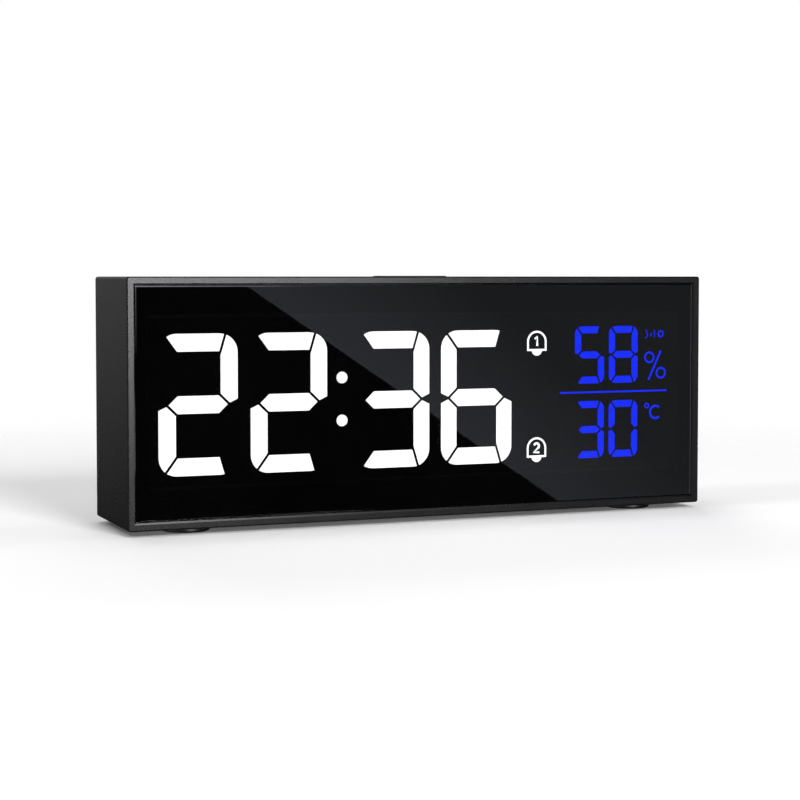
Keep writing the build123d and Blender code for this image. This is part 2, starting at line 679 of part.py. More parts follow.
def snooze_switch():
    """Switch on the back of the display board, pressed from above."""
    top = STEM_END - KEY_TRAVEL - SEAT_CLEARANCE
    body = Pos(0, BOARD_BACK + SWITCH_SIZE / 2) * Rectangle(SWITCH_SIZE, SWITCH_SIZE)
    switch = plan_slab(body, top - SWITCH_HEIGHT, top - SWITCH_PLUNGER)
    return switch + plan_slab(Pos(0, KEY_DEPTH) * Circle(SWITCH_PLUNGER_RADIUS), top - SWITCH_PLUNGER, top)


def rear_button(x, z):
    """Round button with a crowned end, a holding flange inside the cover and a short stem."""
    stem_end = MAIN_BACK + SWITCH_HEIGHT + SEAT_CLEARANCE + BUTTON_TRAVEL
    flange_back = COVER_INNER - SEAT_CLEARANCE
    flange_front = flange_back - BUTTON_FLANGE_THICK
    flange_radius = BUTTON_RADIUS + BUTTON_FLANGE
    end = COVER_OUTER + BUTTON_PROUD
    shoulder = (BUTTON_RADIUS, end - BUTTON_CROWN)
    crown_radius = (BUTTON_RADIUS ** 2 + BUTTON_CROWN ** 2) / (2 * BUTTON_CROWN)
    halfway = BUTTON_RADIUS / 2
    fall = crown_radius - (crown_radius ** 2 - halfway ** 2) ** 0.5
    axis = Line((0, end), (0, stem_end))
    side = Polyline((0, stem_end), (BUTTON_STEM_RADIUS, stem_end), (BUTTON_STEM_RADIUS, flange_front),
                    (flange_radius, flange_front), (flange_radius, flange_back),
                    (BUTTON_RADIUS, flange_back), shoulder)
    dome = ThreePointArc(shoulder, (halfway, end - fall), (0, end))
    return turned(make_face([axis, side, dome]), x, z)


def rear_switches():
    """Switches on the main board, one behind each rear button."""
    switches = []
    for x, z in button_places():
        body = slab(Pos(x, z) * Rectangle(SWITCH_SIZE, SWITCH_SIZE), MAIN_BACK, MAIN_BACK + SWITCH_BODY)
        plunger = Pos(x, z) * Circle(SWITCH_PLUNGER_RADIUS)
        switches.append(body + slab(plunger, MAIN_BACK + SWITCH_BODY, MAIN_BACK + SWITCH_HEIGHT))
    return group(switches)


def main_board():
    """Circuit board on the posts of the rear cover."""
    outline = Pos(MAIN_X, MIDDLE) * Rectangle(MAIN_WIDTH, MAIN_HEIGHT)
    for x, z in POST_PLACES:
        outline -= Pos(x, z) * Circle(SCREW_RADIUS + SLIDE_CLEARANCE)
    return slab(outline, MAIN_FRONT, MAIN_BACK)


def usb_socket():
    """Upright power socket: a thin rounded shell with a tongue."""
    x, z = main_place(USB_PLACE)
    mouth = COVER_OUTER - USB_RECESS
    floor = MAIN_BACK + USB_FLOOR
    shell = slab(Pos(x, z) * SlotOverall(USB_WIDTH, USB_THICK), MAIN_BACK, mouth)
    shell -= slab(Pos(x, z) * SlotOverall(USB_WIDTH - 2 * USB_WALL, USB_THICK - 2 * USB_WALL), floor, mouth)
    tongue = Pos(x, z) * Rectangle(USB_TONGUE_WIDTH, USB_TONGUE_THICK)
    return shell + slab(tongue, floor, mouth - USB_TONGUE_SHORT)


def buzzer():
    """Round sounder with a port in the middle."""
    x, z = main_place(BUZZER_PLACE)
    can = slab(Pos(x, z) * Circle(BUZZER_RADIUS), MAIN_BACK, MAIN_BACK + BUZZER_HEIGHT)
    port = Pos(x, z) * Circle(BUZZER_PORT)
    return can - slab(port, MAIN_BACK + BUZZER_HEIGHT - BUZZER_PORT_DEPTH, MAIN_BACK + BUZZER_HEIGHT)


def climate_sensor():
    """Humidity and temperature sensor with grooves across its face."""
    x, z = main_place(SENSOR_PLACE)
    length, width, height = SENSOR_SIZE
    top = MAIN_BACK + height
    sensor = slab(Pos(x, z) * Rectangle(length, width), MAIN_BACK, top)
    for number in range(SENSOR_SLOT_COUNT):
        slot_x = x + (number - (SENSOR_SLOT_COUNT - 1) / 2) * length / SENSOR_SLOT_COUNT
        slot = Pos(slot_x, z) * Rectangle(SENSOR_SLOT_WIDTH, width - 2 * SENSOR_SLOT_WIDTH)
        sensor -= slab(slot, top - SENSOR_SLOT_DEPTH, top)
    return sensor


def clock_crystal():
    """Flat metal can of the timing crystal."""
    x, z = main_place(CRYSTAL_PLACE)
    can = Pos(x, z) * SlotOverall(CRYSTAL_LENGTH, CRYSTAL_WIDTH)
    return slab(can, MAIN_FRONT - CRYSTAL_HEIGHT, MAIN_FRONT)


def capacitor():
    """Upright round capacitor."""
    x, z = main_place(CAPACITOR_PLACE)
    can = slab(Pos(x, z) * Circle(CAPACITOR_RADIUS), MAIN_FRONT - CAPACITOR_HEIGHT, MAIN_FRONT)
    return fillet(can.faces().sort_by(Axis.Y)[0].edges(), CAPACITOR_EDGE)


def ribbon_connectors():
    """Connector on each board for the ribbon cable."""
    x, high = main_place(RIBBON_PLACE)
    outline = Rectangle(CONNECTOR_WIDTH, CONNECTOR_HEIGHT)
    front = slab(Pos(x, high - RIBBON_DROP) * outline, BOARD_BACK, BOARD_BACK + CONNECTOR_DEEP)
    back = slab(Pos(x, high) * outline, MAIN_FRONT - CONNECTOR_DEEP, MAIN_FRONT)
    return group([front, back])


def ribbon_cable():
    """Flat cable with one S-bend from the display board to the main board."""
    x, high = main_place(RIBBON_PLACE)
    start = FRONT_Y + BOARD_BACK + CONNECTOR_DEEP
    end = FRONT_Y + MAIN_FRONT - CONNECTOR_DEEP
    halfway = (start + end) / 2
    top = FOOT_RISE + high
    line = FilletPolyline((start, top - RIBBON_DROP), (halfway, top - RIBBON_DROP), (halfway, top),
                          (end, top), radius=RIBBON_BEND)
    strip = trace(line, RIBBON_THICK)
    side_view = Plane(origin=(x + RIBBON_WIDTH / 2, 0, 0), x_dir=(0, 1, 0), z_dir=(1, 0, 0))
    return extrude(side_view * strip, amount=-RIBBON_WIDTH)


def rear_cover():
    """Back plate with battery tub, board posts, screw cups, button holes, vents and inlet."""
    plate = Rectangle(INNER_WIDTH - 2 * SLIDE_CLEARANCE, INNER_HEIGHT - 2 * SLIDE_CLEARANCE)
    cover = slab(Pos(0, MIDDLE) * plate, COVER_INNER, COVER_OUTER)
    bay = Pos(BAY_X, MIDDLE)
    cover += slab(bay * Rectangle(TUB_LENGTH, TUB_HEIGHT), TUB_FRONT, COVER_INNER)
    cover -= slab(bay * Rectangle(BAY_LENGTH, BAY_HEIGHT), TUB_FLOOR, COVER_OUTER)
    cover -= slab(bay * Rectangle(DOORWAY_LENGTH, DOORWAY_HEIGHT), COVER_INNER, COVER_OUTER)
    doorway_rim = cover.faces().sort_by(Axis.Y)[-1].inner_wires()[0]
    cover = chamfer(doorway_rim.edges(), HOLE_CHAMFER)
    for z in (MIDDLE - TAB_SPREAD, MIDDLE + TAB_SPREAD):
        slot = Pos(BAY_X - BAY_LENGTH / 2 - TUB_WALL / 2, z)
        slot *= Rectangle(TUB_WALL, TAB_WIDTH + 2 * PART_CLEARANCE)
        cover -= slab(slot, COVER_INNER - TAB_SLOT_DEEP, COVER_INNER)
    for side, z in ((1, cell_heights()[0]), (-1, cell_heights()[-1])):
        slot = Pos(BAY_X + side * (BAY_LENGTH + TUB_WALL) / 2, z)
        slot *= Rectangle(TUB_WALL, TAIL_WIDTH + 2 * SEAT_CLEARANCE)
        cover -= slab(slot, TAIL_DEPTH - SEAT_CLEARANCE, TAIL_DEPTH + CONTACT_THICK + SEAT_CLEARANCE)
    scoop = Pos(BAY_X + DOORWAY_LENGTH / 2, MIDDLE) * Circle(SCOOP_RADIUS)
    cover -= slab(scoop, COVER_OUTER - SCOOP_DEPTH, COVER_OUTER)
    for x, z in COLUMN_PLACES:
        cup = Pos(x, z)
        head = SCREW_HEAD_RADIUS + PART_CLEARANCE
        cover += slab(cup * Circle(head + CUP_WALL), COLUMN_END, COVER_INNER)
        cover -= slab(cup * Circle(head), COLUMN_END + CUP_FLOOR, COVER_OUTER)
        cover -= slab(cup * Circle(SCREW_RADIUS + SLIDE_CLEARANCE), COLUMN_END, COLUMN_END + CUP_FLOOR)
    for x, z in POST_PLACES:
        cover += slab(Pos(x, z) * Circle(POST_RADIUS), MAIN_BACK, COVER_INNER)
        cover -= pilot(x, z, MAIN_BACK, COVER_INNER)
    for x, z in button_places():
        cover -= slab(Pos(x, z) * Circle(BUTTON_RADIUS + SLIDE_CLEARANCE), COVER_INNER, COVER_OUTER)
    usb_hole = SlotOverall(USB_WIDTH + 2 * SLIDE_CLEARANCE, USB_THICK + 2 * SLIDE_CLEARANCE)
    cover -= slab(Pos(*main_place(USB_PLACE)) * usb_hole, COVER_INNER, COVER_OUTER)
    sound = Pos(*main_place(BUZZER_PLACE))
    holes = sound * Circle(SOUND_HOLE)
    for spot in PolarLocations(SOUND_RING, SOUND_COUNT):
        holes += sound * spot * Circle(SOUND_HOLE)
    cover -= slab(holes, COVER_INNER, COVER_OUTER)
    sensor_x, sensor_z = main_place(SENSOR_PLACE)
    for number in range(VENT_COUNT):
        vent = Pos(sensor_x + (number - (VENT_COUNT - 1) / 2) * VENT_PITCH, sensor_z)
        vent *= SlotOverall(VENT_LENGTH, VENT_WIDTH, rotation=90)
        cover -= slab(vent, COVER_INNER, COVER_OUTER)
    outer_face = cover.faces().sort_by(Axis.Y)[-1]
    small_holes = [wire for wire in outer_face.inner_wires() if wire.length < DOORWAY_LENGTH]
    return chamfer([edge for wire in small_holes for edge in wire.edges()], HOLE_CHAMFER)


def battery_door():
    """Flat door with two hooked tabs at one end and a springy tongue at the other."""
    door = Rectangle(DOORWAY_LENGTH - 2 * DOOR_GAP, DOORWAY_HEIGHT - 2 * DOOR_GAP)
    plate = slab(Pos(BAY_X, MIDDLE) * door, COVER_INNER, COVER_OUTER)
    plate = chamfer(plate.faces().sort_by(Axis.Y)[-1].edges(), HOLE_CHAMFER)
    free_end = BAY_X + DOORWAY_LENGTH / 2 - DOOR_GAP
    tongue_x = free_end - TONGUE_LENGTH / 2
    for side in (-1, 1):
        slit = Pos(tongue_x, MIDDLE + side * TONGUE_WIDTH / 2)
        plate -= slab(slit * Rectangle(TONGUE_LENGTH, TONGUE_SLIT), COVER_INNER, COVER_OUTER)
    scoop = Pos(BAY_X + DOORWAY_LENGTH / 2, MIDDLE) * Circle(SCOOP_RADIUS)
    tongue = Pos(tongue_x, MIDDLE) * Rectangle(TONGUE_LENGTH, TONGUE_WIDTH - TONGUE_SLIT)
    plate -= slab(scoop & tongue, COVER_OUTER - SCOOP_DEPTH, COVER_OUTER)
    doorway_end = BAY_X - DOORWAY_LENGTH / 2
    neck_end = BAY_X - BAY_LENGTH / 2 + TAB_NECK
    for z in (MIDDLE - TAB_SPREAD, MIDDLE + TAB_SPREAD):
        neck = Pos((doorway_end + DOOR_GAP + neck_end) / 2, z)
        neck *= Rectangle(neck_end - doorway_end - DOOR_GAP, TAB_WIDTH)
        plate += slab(neck, TAB_BACK, COVER_INNER)
        hook = Pos((doorway_end - TAB_REACH + neck_end) / 2, z)
        hook *= Rectangle(neck_end - doorway_end + TAB_REACH, TAB_WIDTH)
        plate += slab(hook, TAB_BACK - TAB_THICK, TAB_BACK)
    return plate


def battery_cells():
    """Three cells side by side, each turned the other way round from its neighbour."""
    cells = []
    for number, z in enumerate(cell_heights()):
        plus = 1 if number % 2 == 0 else -1
        tip = BAY_X + plus * (BAY_LENGTH / 2 - CONTACT_THICK - BOND_CLEARANCE)
        shoulder = tip - plus * CELL_NUB
        tail = tip - plus * CELL_LENGTH
        axis = Plane(origin=(tail, FRONT_Y + CELL_AXIS, FOOT_RISE + z), z_dir=(plus, 0, 0))
        can = extrude(axis * Circle(CELL_DIAMETER / 2), amount=abs(shoulder - tail))
        can = fillet(can.edges(), CELL_EDGE)
        cells.append(can + extrude(axis * Circle(CELL_NUB_RADIUS), amount=CELL_LENGTH))
    return group(cells)


def contact_plate(end, low, high):
    """Flat contact on an end wall of the bay, between two heights."""
    wall = BAY_X + end * BAY_LENGTH / 2
    plate = Pos(wall - end * CONTACT_THICK / 2, CELL_AXIS) * Rectangle(CONTACT_THICK, CONTACT_SPAN)
    return plan_slab(plate, low, high)


def contact_leaf(end, z):
    """Bowed leaf that presses on the flat end of a cell."""
    wall = BAY_X + end * (BAY_LENGTH / 2 - CONTACT_THICK / 2)
    half = CONTACT_SPAN / 2
    peak = wall - end * (SPRING_ROOM - CONTACT_THICK - SEAT_CLEARANCE)
    line = FilletPolyline((wall, CELL_AXIS - half), (wall, CELL_AXIS + half), (peak, CELL_AXIS),
                          (wall - end * LEAF_LIFT, CELL_AXIS - half), radius=SPRING_BEND)
    return plan_slab(trace(line, CONTACT_THICK), z - CONTACT_WIDTH / 2, z + CONTACT_WIDTH / 2)


def contact_tail(end, z):
    """Tag through the end wall for a lead."""
    wall = BAY_X + end * (BAY_LENGTH / 2 - CONTACT_THICK)
    length = CONTACT_THICK + TUB_WALL + TAIL_OUT
    tag = Pos(wall + end * length / 2, z) * Rectangle(length, TAIL_WIDTH)
    foot_of_plate = Pos(wall + end * CONTACT_THICK / 2, z) * Rectangle(CONTACT_THICK, TAIL_WIDTH)
    return slab(tag, TAIL_DEPTH, TAIL_DEPTH + CONTACT_THICK) + slab(foot_of_plate, TAIL_DEPTH, CELL_AXIS)


def battery_contacts():
    """Plus and minus contacts and the two links that join the cells in a row."""
    heights = cell_heights()
    half = CONTACT_WIDTH / 2
    top, bottom = heights[0], heights[-1]
    pieces = [contact_plate(1, top - half, top + half) + contact_tail(1, top)]
    for number in range(CELL_COUNT - 1):
        end = -1 if number % 2 == 0 else 1
        leaf_z, plate_z = heights[number], heights[number + 1]
        pieces.append(contact_plate(end, plate_z - half, leaf_z + half) + contact_leaf(end, leaf_z))
    last_end = -1 if CELL_COUNT % 2 else 1
    pieces.append(contact_leaf(last_end, bottom) + contact_tail(last_end, bottom))
    return group(pieces)


def lead(points, z):
    """Round wire along a bent line at one height, given as x and depth."""
    height = FOOT_RISE + z
    line = FilletPolyline(*[(x, FRONT_Y + depth, height) for x, depth in points], radius=LEAD_BEND)
    start = Plane(origin=line @ 0, z_dir=line % 0)
    return sweep(start * Circle(LEAD_RADIUS), path=line)


def battery_leads():
    """Red lead straight to the main board, black lead round under the tub."""
    depth = TAIL_DEPTH + CONTACT_THICK / 2
    right = BAY_X + BAY_LENGTH / 2 + TUB_WALL + TAIL_OUT
    left = BAY_X - BAY_LENGTH / 2 - TUB_WALL - TAIL_OUT
    end = MAIN_LEFT + LEAD_INSET
    under = TUB_FRONT - LEAD_CLEAR - LEAD_RADIUS
    red = lead([(right, depth), (end, depth), (end, MAIN_FRONT)], cell_heights()[0])
    black = lead([(left, depth), (left - LEAD_RUN, depth), (left - LEAD_RUN, under), (end, under),
                  (end, MAIN_FRONT)], cell_heights()[-1])
    return red, black


time_faces = digit_faces(DIGIT_WIDTH, DIGIT_HEIGHT, DIGIT_STROKE, DIGIT_CORNER, DIGIT_SLIT)
climate_faces = digit_faces(CLIMATE_WIDTH, CLIMATE_HEIGHT, CLIMATE_STROKE, CLIMATE_CORNER, CLIMATE_SLIT)
hours = placed_digits(time_faces, HOURS_LEFT, DIGIT_MIDDLE, DIGIT_WIDTH, DIGIT_PITCH, SHOWN["hours"])
minutes = placed_digits(time_faces, MINUTES_LEFT, DIGIT_MIDDLE, DIGIT_WIDTH, DIGIT_PITCH,
                        SHOWN["minutes"])
humidity = placed_digits(climate_faces, CLIMATE_LEFT, CLIMATE_MIDDLE + CLIMATE_ROW, CLIMATE_WIDTH,
                         CLIMATE_PITCH, SHOWN["humidity"])
temperature = placed_digits(climate_faces, CLIMATE_LEFT, CLIMATE_MIDDLE - CLIMATE_ROW, CLIMATE_WIDTH,
                            CLIMATE_PITCH, SHOWN["temperature"])
colon = [(Pos(COLON_X, CLIMATE_MIDDLE + up * COLON_SPACING / 2) * Circle(COLON_DOT / 2)).face()
         for up in (-1, 1)]
divider_place = Pos(DIVIDER_LEFT + CLIMATE_LENGTH / 2, CLIMATE_MIDDLE)
divider = (divider_place * Rectangle(CLIMATE_LENGTH, DIVIDER_THICK)).face()
divider_chamber = (divider_place * Rectangle(CLIMATE_LENGTH, DIVIDER_CHAMBER)).face()
bell_windows, climate_windows = sign_windows()

nodes = {
    "case_shell": case_shell(),
    "front_panel": front_panel(),
    "panel_tape": panel_tape(),
    "snooze_key": snooze_key(),
    "snooze_switch": snooze_switch(),
    "display_board": display_board(),
    "rear_switches": rear_switches(),
    "main_board": main_board(),
    "usb_socket": usb_socket(),
    "buzzer": buzzer(),
    "climate_sensor": climate_sensor(),
    "clock_crystal": clock_crystal(),
    "capacitor": capacitor(),
    "ribbon_connectors": ribbon_connectors(),
    "ribbon_cable": ribbon_cable(),
    "rear_cover": rear_cover(),
    "battery_door": battery_door(),
    "battery_cells": battery_cells(),
    "battery_contacts": battery_contacts(),
}

digits = {"hour_tens": hours[0], "hour_units": hours[1], "minute_tens": minutes[0],
          "minute_units": minutes[1], "humidity_tens": humidity[0], "humidity_units": humidity[1],
          "temperature_tens": temperature[0], "temperature_units": temperature[1]}
time_wells = []
climate_wells = []
dark_time = []
dark_climate = []
for name, (lit, dark) in digits.items():
    nodes[name + "_lit"] = fills(lit)
    is_time = name.startswith(("hour", "minute"))
    (time_wells if is_time else climate_wells).extend(lit + dark)
    (dark_time if is_time else dark_climate).extend(dark)
nodes["time_dark_segments"] = fills(dark_time)
nodes["climate_dark_segments"] = fills(dark_climate)
nodes["colon_dots"] = fills(colon)
nodes["divider_bar"] = fills([divider])
nodes["sign_plugs"] = fills(bell_windows + climate_windows)
nodes["legend_films"] = legend_films(bell_windows + climate_windows)
all_wells = time_wells + climate_wells + colon + [divider] + bell_windows + climate_windows
nodes["display_housing"] = display_housing(all_wells, divider_chamber)
nodes["white_lights"] = group(light_chips(time_wells, LARGE_CHIP, LARGE_CHIP_COUNT)
                              + light_chips(colon + bell_windows, SMALL_CHIP, 1))
nodes["blue_lights"] = group(light_chips(climate_wells + climate_windows, SMALL_CHIP, 1)
                             + light_chips([divider_chamber], SMALL_CHIP, DIVIDER_LIGHTS))

nodes["driver_chip"] = chip(BAY_X, MIDDLE, DRIVER_BODY, DRIVER_PINS, BOARD_BACK, True)
nodes["controller_chip"] = chip(*main_place(CONTROLLER_PLACE), CONTROLLER_BODY, CONTROLLER_PINS,
                                MAIN_FRONT, False)
nodes["battery_lead_red"], nodes["battery_lead_black"] = battery_leads()
nodes["display_screws"] = group([screw(x, z, BOARD_BACK, False) for x, z in BOSS_PLACES])
nodes["main_board_screws"] = group([screw(x, z, MAIN_FRONT, True) for x, z in POST_PLACES])
nodes["cover_screws"] = group([screw(x, z, COLUMN_END + CUP_FLOOR, False) for x, z in COLUMN_PLACES])
for name, (x, z) in zip(("set", "alarm", "up", "down", "dimmer"), button_places()):
    nodes[name + "_button"] = rear_button(x, z)
for name, (side, end) in FOOT_PLACES.items():
    nodes["foot_" + name] = foot(side, end)

os.makedirs("parts", exist_ok=True)
for name, shape in nodes.items():
    export_step(shape, f"parts/{name}.step")
print(len(nodes), "nodes; case", CASE_WIDTH, "x", CASE_HEIGHT, "x", CASE_DEPTH)
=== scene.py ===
import math

import bpy
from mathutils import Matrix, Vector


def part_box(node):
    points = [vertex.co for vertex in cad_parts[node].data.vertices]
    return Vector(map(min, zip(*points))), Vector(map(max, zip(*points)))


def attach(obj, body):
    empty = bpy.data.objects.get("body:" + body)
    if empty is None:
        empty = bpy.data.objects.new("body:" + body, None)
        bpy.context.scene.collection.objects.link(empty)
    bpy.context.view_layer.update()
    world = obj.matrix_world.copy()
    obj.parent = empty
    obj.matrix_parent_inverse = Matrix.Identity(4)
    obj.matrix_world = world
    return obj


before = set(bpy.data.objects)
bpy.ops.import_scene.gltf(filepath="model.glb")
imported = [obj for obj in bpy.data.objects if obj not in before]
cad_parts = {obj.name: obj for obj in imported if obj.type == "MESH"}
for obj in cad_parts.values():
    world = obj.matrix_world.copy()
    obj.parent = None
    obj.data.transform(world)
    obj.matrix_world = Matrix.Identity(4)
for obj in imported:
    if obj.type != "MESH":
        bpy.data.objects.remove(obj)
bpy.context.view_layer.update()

# Case shell: one injection-moulded ABS box open at the front and back, with a narrow front rim.
# Its tool was spark-eroded, so the matt black skin has a fine even grain and a low sheen.


class Pattern:
    """One value of a finish. Sums and products of patterns add their Math nodes to the material."""

    def __init__(self, tree, socket):
        self.tree = tree
        self.socket = socket

    def make(self, kind, settings=None, sockets=None, output=0):
        """Adds any other node: its settings are set first, then the values or links of its sockets."""
        node = self.tree.nodes.new("ShaderNode" + kind)
        for name, value in (settings or {}).items():
            if name == "stops":
                for stop, (position, colour) in zip(node.color_ramp.elements, value):
                    stop.position = position
                    stop.color = (*colour, 1)
            else:
                setattr(node, name, value)
        for name, value in (sockets or {}).items():
            if isinstance(value, Pattern):
                self.tree.links.new(value.socket, node.inputs[name])
            else:
                node.inputs[name].default_value = value
        return Pattern(self.tree, node.outputs[output])

    def math(self, operation, first, second):
        return self.make("Math", {"operation": operation}, {0: first, 1: second})

    def __add__(self, other):
        return self.math("ADD", self, other)

    __radd__ = __add__

    def __sub__(self, other):
        return self.math("SUBTRACT", self, other)

    def __rsub__(self, other):
        return self.math("SUBTRACT", other, self)

    def __mul__(self, other):
        return self.math("MULTIPLY", self, other)

    __rmul__ = __mul__

    def noise(self, size, detail=2.0):
        """Cloudy noise whose patches are about this many metres across."""
        return self.make("TexNoise", {}, {"Vector": self, "Scale": 1 / size, "Detail": detail})

    def shades(self, dark, light, low=0.3, high=0.7):
        """Colour between two shades, by this value."""
        return self.make("ValToRGB", {"stops": [(low, dark), (high, light)]}, {"Fac": self})

    def relief(self, depth):
        """Surface normal of a relief this many metres deep."""
        return self.make("Bump", {}, {"Height": self, "Distance": depth, "Strength": 1.0})

    def drive(self, shader, name):
        self.tree.links.new(self.socket, shader.inputs[name])


def new_finish(name):
    """A new material, its shader, and the place on the piece as a pattern."""
    material = bpy.data.materials.new(name)
    material.use_nodes = True
    tree = material.node_tree
    place = tree.nodes.new("ShaderNodeTexCoord")
    return material, tree.nodes["Principled BSDF"], Pattern(tree, place.outputs["Object"])


def moulded(name, dark, light, rough, grain, depth):
    """Moulded plastic or rubber: cloudy shading, uneven gloss and a fine grain in relief."""
    material, shader, place = new_finish(name)
    cloud = place.noise(0.014, 4.0)
    fine = place.noise(grain, 3.0)
    (cloud * 0.6 + fine * 0.4).shades(dark, light).drive(shader, "Base Color")
    (rough - 0.05 + cloud * 0.06 + fine * 0.06).drive(shader, "Roughness")
    fine.relief(depth).drive(shader, "Normal")
    return material


def dress(material, *names):
    """Gives CAD nodes a finish."""
    for name in names:
        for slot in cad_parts[name].material_slots:
            slot.material = material


case_black = moulded("case_matt_black", (0.0024, 0.0024, 0.0026), (0.0042, 0.0042, 0.0045),
                     rough=0.255, grain=0.0005, depth=0.000006)
case_black.node_tree.nodes["Principled BSDF"].inputs["Specular IOR Level"].default_value = 0.25
dress(case_black, "case_shell")

# Feet: four round pads of black rubber, die cut and stuck in shallow recesses under the case.
# The rubber is duller than the case, with a coarser skin and a little dust.
foot_rubber = moulded("foot_rubber", (0.002, 0.002, 0.002), (0.005, 0.005, 0.005),
                      rough=0.38, grain=0.0008, depth=0.00001)
dress(foot_rubber, "foot_front_left", "foot_front_right", "foot_rear_left", "foot_rear_right")

# Display board and main board: glass-fibre sheets with green solder mask over copper tracks.
# Tracks show as paler lines in the mask, and the weave of the sheet as a fine relief.
board_mask, board_shader, board_place = new_finish("board_solder_mask")
board_tracks = board_place.make("TexBrick", {"offset": 0.5, "squash": 1.0},
                                {"Vector": board_place, "Scale": 120.0, "Mortar Size": 0.08,
                                 "Brick Width": 0.9, "Row Height": 0.3, "Color1": (0, 0, 0, 1),
                                 "Color2": (0.2, 0.2, 0.2, 1), "Mortar": (1, 1, 1, 1)})
board_tracks.shades((0.006, 0.07, 0.028), (0.02, 0.15, 0.06)).drive(board_shader, "Base Color")
(0.28 + board_place.noise(0.006) * 0.15).drive(board_shader, "Roughness")
board_tracks.relief(0.00003).drive(board_shader, "Normal")
dress(board_mask, "display_board", "main_board")

# Chips, switches and sounder: black moulded packages soldered to the boards.
# They share one dull epoxy finish with a fine gritty skin.
package_epoxy = moulded("package_epoxy", (0.012, 0.012, 0.013), (0.03, 0.03, 0.031),
                        rough=0.6, grain=0.0003, depth=0.00001)
dress(package_epoxy, "driver_chip", "controller_chip", "snooze_switch", "rear_switches", "buzzer")

# Sensor, ribbon cable and its connectors: white nylon and a white flat cable.
# The white is slightly uneven and warm, as unpainted nylon is.
white_nylon = moulded("white_nylon", (0.6, 0.6, 0.57), (0.74, 0.74, 0.71),
                      rough=0.45, grain=0.0006, depth=0.00001)
dress(white_nylon, "climate_sensor", "ribbon_connectors", "ribbon_cable")

# Light chips: small white frames with a yellow phosphor, two under each large segment.
# Those of the climate figures are blue under clear resin.
phosphor_yellow = moulded("phosphor_yellow", (0.62, 0.5, 0.1), (0.8, 0.7, 0.25),
                          rough=0.4, grain=0.0004, depth=0.00001)
dress(phosphor_yellow, "white_lights")
chip_clear_blue = moulded("chip_clear_blue", (0.3, 0.36, 0.5), (0.5, 0.56, 0.7),
                          rough=0.3, grain=0.0004, depth=0.00001)
dress(chip_clear_blue, "blue_lights")

# Display housing: a moulded block with a straight light well for each segment, staked to its board.
# Its face is printed dead black, so that nothing shows round the lit segments.
housing_black = moulded("housing_black_print", (0.0006, 0.0006, 0.0007), (0.0012, 0.0012, 0.0013),
                        rough=0.9, grain=0.0004, depth=0.000005)
housing_black.node_tree.nodes["Principled BSDF"].inputs["Specular IOR Level"].default_value = 0.0
dress(housing_black, "display_housing", "legend_films", "panel_tape", "time_dark_segments",
      "climate_dark_segments", "sign_plugs")

# Segment fills: milky resin in the mouths of the wells, white for the time and blue for the climate.
# A lit one glows evenly, with the least cloudiness from the diffuser grains in the resin.
WHITE_GLOW = ((0.97, 0.97, 1.0), (1.0, 1.0, 1.0))
BLUE_GLOW = ((0.0005, 0.016, 0.86), (0.001, 0.022, 0.98))


def glowing(name, glow, strength):
    """Milky resin lit from behind."""
    material, shader, place = new_finish(name)
    cloud = place.noise(0.0018, 3.0)
    shade = cloud.shades(*glow)
    shade.drive(shader, "Emission Color")
    shade.drive(shader, "Base Color")
    shader.inputs["Emission Strength"].default_value = strength
    (0.3 + cloud * 0.2).drive(shader, "Roughness")
    return material


resin_white = glowing("resin_lit_white", WHITE_GLOW, strength=16.0)
resin_blue = glowing("resin_lit_blue", BLUE_GLOW, strength=12.6)
dress(resin_white, "hour_tens_lit", "hour_units_lit", "minute_tens_lit", "minute_units_lit", "colon_dots")
dress(resin_blue, "humidity_tens_lit", "humidity_units_lit", "temperature_tens_lit",
      "temperature_units_lit", "divider_bar")

# Signs: clear lines left in the black print of the films, lit from the plugs behind them.
# Two bells numbered for the alarms in white; weather, percent and degree signs in blue.
MM = 0.001
SIGN_THICK = 0.06
CASE_BOTTOM_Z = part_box("case_shell")[0].z
FILM_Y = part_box("legend_films")[0].y / MM - SIGN_THICK / 2


def arc_points(x, z, radius, first, last, steps):
    """Points along an arc, its angles in degrees."""
    turns = [math.radians(first + (last - first) * step / steps) for step in range(steps + 1)]
    return [(x + radius * math.cos(turn), z + radius * math.sin(turn)) for turn in turns]


def sign_line(points, width):
    """One round-ended line of a sign through points given as x and height over the case bottom, in mm."""
    bpy.ops.curve.primitive_bezier_curve_add()
    line = bpy.context.object
    line.data.splines.clear()
    spline = line.data.splines.new("POLY")
    spline.points.add(len(points) - 1)
    for point, (x, z) in zip(spline.points, points):
        point.co = (x * MM, 0, CASE_BOTTOM_Z + z * MM, 1)
    spline.use_cyclic_u = points[0] == points[-1]
    line.data.bevel_depth = width / 2 * MM
    line.data.bevel_resolution = 2
    line.data.use_fill_caps = True
    return line


def sign(name, lines, ink, face_y):
    """Joins lines to one flat sign, its middle at a depth given in mm."""
    bpy.ops.object.select_all(action="DESELECT")
    for line in lines:
        line.select_set(True)
    bpy.context.view_layer.objects.active = lines[0]
    bpy.ops.object.convert(target="MESH")
    if len(lines) > 1:
        bpy.ops.object.join()
    piece = bpy.context.object
    piece.name = name
    thickest = max(vertex.co.y for vertex in piece.data.vertices)
    bpy.ops.object.mode_set(mode="EDIT")
    bpy.ops.mesh.select_all(action="SELECT")
    bpy.ops.mesh.remove_doubles(threshold=0.001 * MM)
    bpy.ops.mesh.normals_make_consistent(inside=False)
    bpy.ops.transform.resize(value=(1, SIGN_THICK / 2 * MM / thickest, 1), center_override=(0, 0, 0))
    bpy.ops.transform.translate(value=(0, face_y * MM, 0))
    bpy.ops.object.mode_set(mode="OBJECT")
    piece.data.materials.clear()
    piece.data.materials.append(ink)
    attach(piece, "clock")
    return piece


